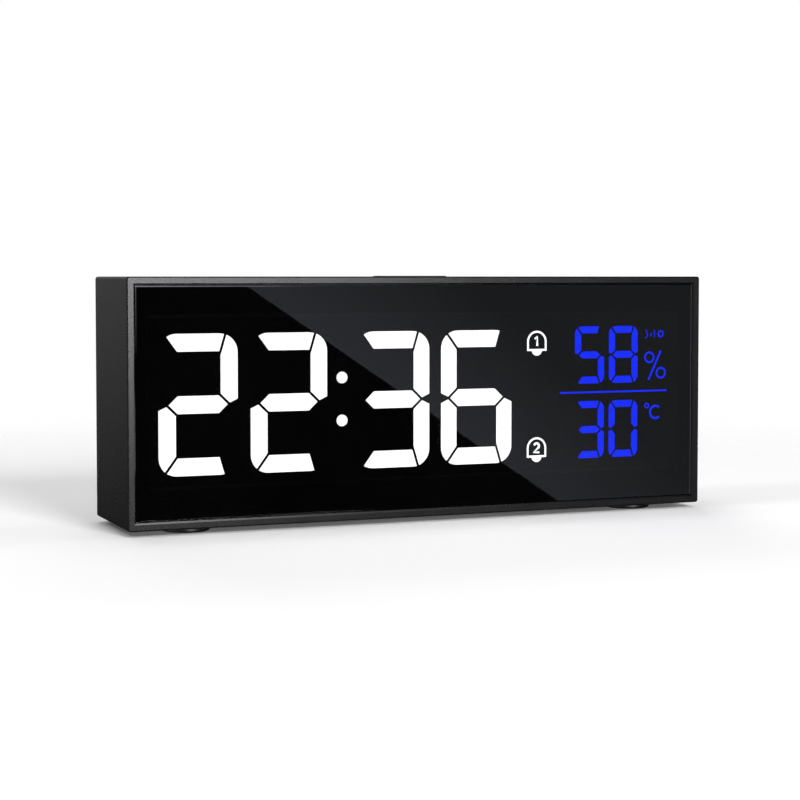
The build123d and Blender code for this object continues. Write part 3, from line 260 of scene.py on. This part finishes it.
def ring(x, z, radius, width):
    """Ring of a sign, by its outer radius."""
    return sign_line(arc_points(x, z, radius - width / 2, 0, 360, 40), width)


def bell(x, base, half, height, width):
    """Lines of a bell standing on a base, with its filled clapper under it."""
    arch = arc_points(x, base + height - half, half, 0, 180, 24)
    rail_half = half + width / 2
    clapper_radius = half * 0.48
    fill_half = half * 0.3
    fill_z = base - half * 0.18
    fill_width = half * 0.33
    return [sign_line([(x + half, base)] + arch + [(x - half, base)], width),
            sign_line([(x - rail_half, base), (x + rail_half, base)], width),
            sign_line(arc_points(x, base, clapper_radius, 180, 360, 12), width),
            sign_line([(x - fill_half, fill_z), (x + fill_half, fill_z)], fill_width)]


def sun(x, z, radius, reach, width):
    """Lines of a sun: a ring and eight rays."""
    lines = [ring(x, z, radius, width)]
    starts = arc_points(x, z, radius, 0, 315, 7)
    ends = arc_points(x, z, reach, 0, 315, 7)
    for start, end in zip(starts, ends):
        lines.append(sign_line([start, end], width))
    return lines


BELL_X = 32.58
BELL_HALF = 2.7
BELL_HEIGHT = 4.98
BELL_LINE = 0.55
NUMERAL_RISE = 1.1
NUMERAL_LINE = 0.62
FIGURE_ONE = [(-0.62, 1.9), (0.12, 2.5), (0.12, 0.0)]
FIGURE_TWO = arc_points(0.0, 1.75, 0.75, 165, -35, 10) + [(-0.85, 0.0), (0.85, 0.0)]
for name, base, figure in (("bell_one", 43.9, FIGURE_ONE), ("bell_two", 14.63, FIGURE_TWO)):
    numeral = sign_line([(BELL_X + x, base + NUMERAL_RISE + z) for x, z in figure], NUMERAL_LINE)
    outline = bell(BELL_X, base, BELL_HALF, BELL_HEIGHT, BELL_LINE)
    sign(name, outline + [numeral], resin_white, FILM_Y)

PERCENT_RADIUS = 1.66
PERCENT_LINE = 0.55
SLASH_LINE = 0.6
percent = [ring(x, z, PERCENT_RADIUS, PERCENT_LINE) for x, z in ((67.9, 41.29), (71.61, 36.87))]
percent.append(sign_line([(67.64, 34.96), (71.56, 43.1)], SLASH_LINE))
sign("percent_sign", percent, resin_blue, FILM_Y)

DEGREE_RADIUS = 0.8
DEGREE_LINE = 0.4
LETTER_RADIUS = 1.75
LETTER_LINE = 0.62
degree = [ring(67.14, 27.68, DEGREE_RADIUS, DEGREE_LINE)]
degree.append(sign_line(arc_points(69.95, 25.82, LETTER_RADIUS, 48, 312, 24), LETTER_LINE))
sign("degree_sign", degree, resin_blue, FILM_Y)

WEATHER_SUN_RADIUS = 0.85
WEATHER_SUN_REACH = 1.15
WEATHER_LINE = 0.3
WAVE = [(66.6, 48.9), (67.2, 48.6), (66.9, 48.1), (67.4, 47.6), (66.9, 46.9), (66.5, 46.7)]
WAVE_LINE = 0.28
DASH_LINE = 0.34
weather = sun(71.5, 47.87, WEATHER_SUN_RADIUS, WEATHER_SUN_REACH, WEATHER_LINE)
weather.append(sign_line(WAVE, WAVE_LINE))
weather.append(sign_line([(68.4, 48.2), (68.4, 47.2)], DASH_LINE))
weather.append(sign_line([(69.5, 49.0), (69.5, 46.9)], WEATHER_LINE))
sign("weather_sign", weather, resin_blue, FILM_Y)

# Front panel: a 2 mm sheet of smoked acrylic, laser cut and polished, dropped into the rim.
# It is nearly black, lets the lit segments through, and mirrors the room faintly.
PANEL_ALPHA = 0.72
ACRYLIC_IOR = 1.49
panel_smoke, panel_shader, panel_place = new_finish("panel_smoked_acrylic")
panel_haze = panel_place.noise(0.03, 5.0)
panel_haze.shades((0.0008, 0.0008, 0.001), (0.0014, 0.0014, 0.0016)).drive(panel_shader, "Base Color")
(0.004 + panel_haze * 0.012).drive(panel_shader, "Roughness")
panel_shader.inputs["Alpha"].default_value = PANEL_ALPHA
panel_shader.inputs["IOR"].default_value = ACRYLIC_IOR

# Edge lines of the front panel: painted highlights, thin lines of emission just inside the sheet's
# polished edges.
# Two start at the upper left corner and fade along the top and the left; a faint one follows the right.
EDGE_HIGHLIGHT_TINT = (0.89, 0.77, 1.0)
LINE_HALF = 0.00006
TOP_LINE_IN = 0.00026
TOP_FADE = 0.048
TOP_HIGHLIGHT = 0.56
LEFT_LINE_IN = 0.00014
LEFT_FADE = 0.0185
LEFT_HIGHLIGHT = 0.2
RIGHT_LINE_IN = 0.00013
RIGHT_LINE_HALF = 0.00013
RIGHT_HIGHLIGHT = 0.08
FACE_DEPTH = 0.00013
PANEL_LOW, PANEL_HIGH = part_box("front_panel")


def within(distance, middle, half):
    """1 where a distance is near a middle value, else 0."""
    return distance.make("Math", {"operation": "COMPARE"}, {0: distance, 1: middle, 2: half})


def fading(distance, reach):
    """1 at no distance, falling evenly to 0 at the reach."""
    share = 1 - distance * (1 / reach)
    return share.math("MAXIMUM", share, 0.0)


panel_x, panel_y, panel_z = [panel_place.make("SeparateXYZ", {}, {"Vector": panel_place}, axis)
                             for axis in ("X", "Y", "Z")]
from_left = panel_x - PANEL_LOW.x
from_right = PANEL_HIGH.x - panel_x
from_top = PANEL_HIGH.z - panel_z
painted_top_highlight = within(from_top, TOP_LINE_IN, LINE_HALF) * fading(from_left, TOP_FADE)
painted_left_highlight = within(from_left, LEFT_LINE_IN, LINE_HALF) * fading(from_top, LEFT_FADE)
painted_right_highlight = within(from_right, RIGHT_LINE_IN, RIGHT_LINE_HALF)
# The edge highlights are painted: their brightness goes into the panel's emission colour and is not lit
# by any lamp.
painted_edge_highlight = painted_top_highlight * TOP_HIGHLIGHT + painted_left_highlight * LEFT_HIGHLIGHT + painted_right_highlight * RIGHT_HIGHLIGHT
painted_edge_highlight = painted_edge_highlight * within(panel_y - PANEL_LOW.y, 0.0, FACE_DEPTH)
painted_edge_highlight.shades((0, 0, 0), EDGE_HIGHLIGHT_TINT, 0.0, 1.0).drive(panel_shader, "Emission Color")
panel_shader.inputs["Emission Strength"].default_value = 1.0
dress(panel_smoke, "front_panel")

# Snooze key: a long moulded cap in the top of the case, from the same black plastic.
# It is a little smoother than the case, from fingers and from a finer tool.
key_satin_black = moulded("key_satin_black", (0.007, 0.007, 0.0074), (0.012, 0.012, 0.0125),
                          rough=0.36, grain=0.0006, depth=0.000008)
dress(key_satin_black, "snooze_key")

# Rear buttons: five round moulded caps that stand a little out of the cover.
# They are a shade lighter and smoother than the cover round them.
button_satin_black = moulded("button_satin_black", (0.045, 0.045, 0.047), (0.062, 0.062, 0.064),
                             rough=0.36, grain=0.0006, depth=0.000008)
dress(button_satin_black, "set_button", "alarm_button", "up_button", "down_button", "dimmer_button")

# Rear cover and battery door: flat mouldings in matt black, screwed to the columns of the case.
# Their grain is coarser than the case's, to hide flow marks.
cover_matt_black = moulded("cover_matt_black", (0.026, 0.026, 0.027), (0.042, 0.042, 0.043),
                           rough=0.5, grain=0.0007, depth=0.00002)
dress(cover_matt_black, "rear_cover", "battery_door")

# Signs of the rear buttons: pale grey ink, pad printed on the cover under each button.
# A dial for the time, a bell, two arrows, and a sun for the brightness.
COVER_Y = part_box("rear_cover")[1].y / MM + SIGN_THICK / 2
INK_LINE = 0.34
SIGN_BELOW = 7.4
DIAL_RADIUS = 1.7
DIAL_HANDS = [(0, 1.0), (0, 0), (-0.7, 0)]
ALARM_HALF = 1.25
ALARM_HEIGHT = 2.5
ALARM_DROP = 0.9
ARROW_CORNERS = [(-1.4, -0.9), (1.4, -0.9), (0, 1.3), (-1.4, -0.9)]
SUN_RADIUS = 0.9
SUN_REACH = 1.7
pale_ink = moulded("sign_pale_ink", (0.3, 0.3, 0.3), (0.42, 0.42, 0.42),
                   rough=0.6, grain=0.0004, depth=0.000004)


def under(button):
    """Place of a button's sign, as x and height over the case bottom, in mm."""
    low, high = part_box(button)
    return (low.x + high.x) / 2 / MM, ((low.z + high.z) / 2 - CASE_BOTTOM_Z) / MM - SIGN_BELOW


def arrow(button, way):
    """Three-sided outline that points up or down."""
    x, z = under(button)
    return [sign_line([(x + a, z + way * b) for a, b in ARROW_CORNERS], INK_LINE)]


dial_x, dial_z = under("set_button")
dial = [ring(dial_x, dial_z, DIAL_RADIUS, INK_LINE)]
dial.append(sign_line([(dial_x + a, dial_z + b) for a, b in DIAL_HANDS], INK_LINE))
sign("set_sign", dial, pale_ink, COVER_Y)
bell_x, bell_z = under("alarm_button")
alarm_bell = bell(bell_x, bell_z - ALARM_DROP, ALARM_HALF, ALARM_HEIGHT, INK_LINE)
sign("alarm_sign", alarm_bell, pale_ink, COVER_Y)
sign("up_sign", arrow("up_button", 1), pale_ink, COVER_Y)
sign("down_sign", arrow("down_button", -1), pale_ink, COVER_Y)
sun_x, sun_z = under("dimmer_button")
sign("dimmer_sign", sun(sun_x, sun_z, SUN_RADIUS, SUN_REACH, INK_LINE), pale_ink, COVER_Y)


# Metal parts: screws, the shell of the power inlet, spring contacts, crystal and capacitor cans.
# Bright plating with fine brush lines; the cover screws are blackened.
def plated(name, dark, light, rough):
    """Plated or drawn metal with fine lines along one way."""
    material, shader, place = new_finish(name)
    lines = place.make("Mapping", {}, {"Vector": place, "Scale": (1.0, 1.0, 14.0)}).noise(0.004, 3.0)
    lines.shades(dark, light).drive(shader, "Base Color")
    shader.inputs["Metallic"].default_value = 1.0
    (rough - 0.08 + lines * 0.16).drive(shader, "Roughness")
    lines.relief(0.000006).drive(shader, "Normal")
    return material


plated_steel = plated("plated_steel", (0.5, 0.5, 0.48), (0.66, 0.66, 0.64), rough=0.28)
dress(plated_steel, "usb_socket", "battery_contacts", "display_screws", "main_board_screws",
      "clock_crystal", "capacitor")
blackened_steel = plated("blackened_steel", (0.03, 0.03, 0.032), (0.06, 0.06, 0.062), rough=0.42)
dress(blackened_steel, "cover_screws")

# Battery cells: three AAA cells with plain grey jackets and bright ends.
# The jacket is a plain shrink sleeve, the ends bare nickel-plated steel.
BARE_END = 0.0016
cell_jacket, cell_shader, cell_place = new_finish("cell_jacket")
CELLS_LOW, CELLS_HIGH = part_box("battery_cells")
cell_axes = cell_place.make("SeparateXYZ", {}, {"Vector": cell_place})
from_middle = cell_axes.math("ABSOLUTE", cell_axes - (CELLS_LOW.x + CELLS_HIGH.x) / 2, 0.0)
sleeve = from_middle.math("LESS_THAN", from_middle, (CELLS_HIGH.x - CELLS_LOW.x) / 2 - BARE_END)
cell_cloud = cell_place.noise(0.008, 3.0)
cell_tone = cell_cloud * 0.2 + (1 - sleeve) * 0.8
cell_tone.shades((0.17, 0.2, 0.24), (0.72, 0.72, 0.7), 0.1, 0.9).drive(cell_shader, "Base Color")
(0.24 + cell_cloud * 0.12).drive(cell_shader, "Roughness")
(1 - sleeve * 0.7).drive(cell_shader, "Metallic")
dress(cell_jacket, "battery_cells")

# Battery leads: stranded wire in red and black silicone, soldered to the contact tags.
# The sleeves are soft and slightly dusty.
lead_red = moulded("lead_red", (0.4, 0.012, 0.01), (0.55, 0.03, 0.025),
                   rough=0.5, grain=0.0005, depth=0.000008)
dress(lead_red, "battery_lead_red")
lead_black = moulded("lead_black", (0.012, 0.012, 0.012), (0.022, 0.022, 0.022),
                     rough=0.5, grain=0.0005, depth=0.000008)
dress(lead_black, "battery_lead_black")

# Stage: a white table top that fades into a white backdrop, with soft lamps.
# The table takes light and shadow, and a small lift for the camera makes it read as white.
FLOOR_SIZE = 6.0
FLOOR_LIFT = 0.06
FADE_START = 0.15
FADE_END = 0.4
BACKDROP_WHITE = 0.95
ROOM_FILL = 0.05
bpy.ops.object.select_all(action="DESELECT")
bpy.ops.mesh.primitive_plane_add(size=FLOOR_SIZE, location=(0, 0, 0))
floor = bpy.context.object
floor.name = "floor"
floor_white, floor_shader, floor_place = new_finish("floor_white")
floor_cloud = floor_place.noise(0.5, 2.0)
floor_cloud.shades((0.84, 0.84, 0.84), (0.86, 0.86, 0.86)).drive(floor_shader, "Base Color")
floor_shader.inputs["Roughness"].default_value = 0.9
floor_shader.inputs["Specular IOR Level"].default_value = 0.0
floor_shader.inputs["Emission Strength"].default_value = FLOOR_LIFT
floor_path = floor_place.make("LightPath", {}, {}, "Is Camera Ray")
floor_path.drive(floor_shader, "Emission Color")
floor_reach = floor_place.make("VectorMath", {"operation": "LENGTH"}, {0: floor_place}, "Value")
floor_fade = floor_place.make("MapRange", {"interpolation_type": "SMOOTHSTEP"},
                              {"Value": floor_reach, "From Min": FADE_START, "From Max": FADE_END})
floor_tree = floor_white.node_tree
floor_mix = floor_tree.nodes.new("ShaderNodeMixShader")
floor_open = floor_tree.nodes.new("ShaderNodeBsdfTransparent")
floor_tree.links.new(floor_fade.socket, floor_mix.inputs["Fac"])
floor_tree.links.new(floor_shader.outputs[0], floor_mix.inputs[1])
floor_tree.links.new(floor_open.outputs[0], floor_mix.inputs[2])
floor_tree.links.new(floor_mix.outputs[0], floor_tree.nodes["Material Output"].inputs["Surface"])
floor.data.materials.append(floor_white)
floor.visible_glossy = False

scene = bpy.context.scene
scene.view_settings.view_transform = "Standard"
world = bpy.data.worlds.new("studio")
scene.world = world
world.use_nodes = True
world_tree = world.node_tree
world_back = world_tree.nodes["Background"]
world_path = world_tree.nodes.new("ShaderNodeLightPath")
seen = Pattern(world_tree, world_path.outputs["Is Camera Ray"])
mirrored = Pattern(world_tree, world_path.outputs["Is Glossy Ray"])
strength = seen * BACKDROP_WHITE + (1 - mirrored) * ROOM_FILL
world_back.inputs["Color"].default_value = (1, 1, 1, 1)
world_tree.links.new(strength.socket, world_back.inputs["Strength"])


def softbox(name, place, aim, width, height, power):
    """Soft lamp at a place, turned to a point. Its sides are in metres, its power in watts."""
    lamp = bpy.data.lights.new(name, "AREA")
    lamp.shape = "RECTANGLE"
    lamp.size = width
    lamp.size_y = height
    lamp.energy = power
    holder = bpy.data.objects.new(name, lamp)
    scene.collection.objects.link(holder)
    holder.location = place
    way = [a - p for a, p in zip(aim, place)]
    flat = math.hypot(way[0], way[1])
    holder.rotation_euler = (math.atan2(flat, -way[2]), 0, math.atan2(-way[0], way[1]))
    return holder


# A lamp that isn't visible_glossy gives light but is kept out of mirrors.
# The shine lamp does the reverse: it is only mirrored, by the bevels of the rim.
CLOCK_MIDDLE = (0, 0, 0.03)
softbox("front_lamp", (0.26, -1.29, 0.17), (0.26, 0, 0.03), 0.45, 0.2, 8.2)
softbox("low_lamp", (0.01, -1.29, 0.045), (0.01, 0, 0.045), 0.4, 0.08, 3.2)
softbox("key_lamp", (0.116, -1.229, 0.66), CLOCK_MIDDLE, 0.35, 0.35, 13.8).visible_glossy = False
softbox("crown_lamp", (-0.113, 0.298, 1.363), CLOCK_MIDDLE, 0.3, 0.3, 2.5)
softbox("sky_lamp", (0.1, 0.1, 1.6), (0, 0, 0), 1.6, 1.6, 5.6)
softbox("shine_lamp", (0.18, -0.17, 1.3), CLOCK_MIDDLE, 0.3, 0.3, 5.0).visible_diffuse = False
softbox("left_lamp", (-0.963, -0.085, 1.013), CLOCK_MIDDLE, 0.3, 0.3, 3.5).visible_glossy = False
softbox("right_lamp", (1.287, -0.026, 0.55), CLOCK_MIDDLE, 0.8, 0.8, 4.2).visible_glossy = False
softbox("rear_lamp", (0.195, 1.232, 0.636), CLOCK_MIDDLE, 0.8, 0.8, 7.6).visible_glossy = False


# Cards: lit sheets that only mirrors see, so that they draw on the clock without lighting the table.
# The right one has a slanted edge, which the smoked panel shows as the diagonal of its pale corner.
def mirror_card(name, corners, fade_from, fade_to, near_glow, far_glow):
    """Lit sheet through four corners, fading from one point of it to another."""
    bpy.ops.object.select_all(action="DESELECT")
    bpy.ops.mesh.primitive_plane_add(size=1.0)
    card = bpy.context.object
    card.name = name
    for vertex, corner in zip(card.data.vertices, corners):
        vertex.co = corner
    material, shader, place = new_finish(name + "_light")
    run = [b - a for a, b in zip(fade_from, fade_to)]
    square = sum(part * part for part in run)
    start = sum(a * part for a, part in zip(fade_from, run)) / square
    along = place.make("VectorMath", {"operation": "DOT_PRODUCT"},
                       {0: place, 1: [part / square for part in run]}, "Value")
    (along - start).shades(near_glow, far_glow, 0.0, 1.0).drive(shader, "Emission Color")
    shader.inputs["Base Color"].default_value = (0, 0, 0, 1)
    shader.inputs["Specular IOR Level"].default_value = 0.0
    shader.inputs["Emission Strength"].default_value = 1.0
    card.data.materials.append(material)
    card.visible_camera = False
    card.visible_diffuse = False
    card.visible_shadow = False


CARD_Y = -1.3
mirror_card("right_card", [(0.021, CARD_Y, 0.2785), (1.0338, CARD_Y, -0.394), (0.5185, CARD_Y, 1.0286),
                           (1.5316, CARD_Y, 0.356)],
            (0.3523, CARD_Y, 0.0587), (0.4465, CARD_Y, 0.1762), (0.74, 0.78, 0.88), (0.32, 0.34, 0.38))
mirror_card("side_card", [(-0.8, 0.8, -0.5), (0.1, 0.8, -0.5), (-0.8, 0.8, 0.5), (0.1, 0.8, 0.5)],
            (0, 0.8, -0.15), (0, 0.8, 0.35), (0.02, 0.02, 0.02), (0.44, 0.44, 0.44))
mirror_card("rear_card", [(-1.2, 1.6, -0.8), (1.2, 1.6, -0.8), (-1.2, 1.6, 0.6), (1.2, 1.6, 0.6)],
            (0, 1.6, -0.8), (0, 1.6, 0.6), (0.9, 0.9, 0.9), (0.3, 0.3, 0.3))
mirror_card("left_card", [(-1.5, 0.7, -0.8), (-1.5, -1.3, -0.8), (-1.5, 0.7, 0.8), (-1.5, -1.3, 0.8)],
            (-1.5, 0, -0.8), (-1.5, 0, 0.8), (0.7, 0.7, 0.7), (0.5, 0.5, 0.5))

# Camera: the photograph's place and lens, with the little upward shift that its framing has.
CAMERA_TURN = 22.3438
CAMERA_DIP = 2.5848
camera = bpy.data.objects.new("camera", bpy.data.cameras.new("camera"))
scene.collection.objects.link(camera)
camera.data.lens = 82.80
camera.data.sensor_width = 36.0
camera.data.shift_y = -0.0504
camera.location = (-0.193687, -0.466518, 0.065468)
camera.rotation_euler = (math.radians(90 - CAMERA_DIP), 0, math.radians(-CAMERA_TURN))
camera.data.clip_start = 0.01
scene.camera = camera
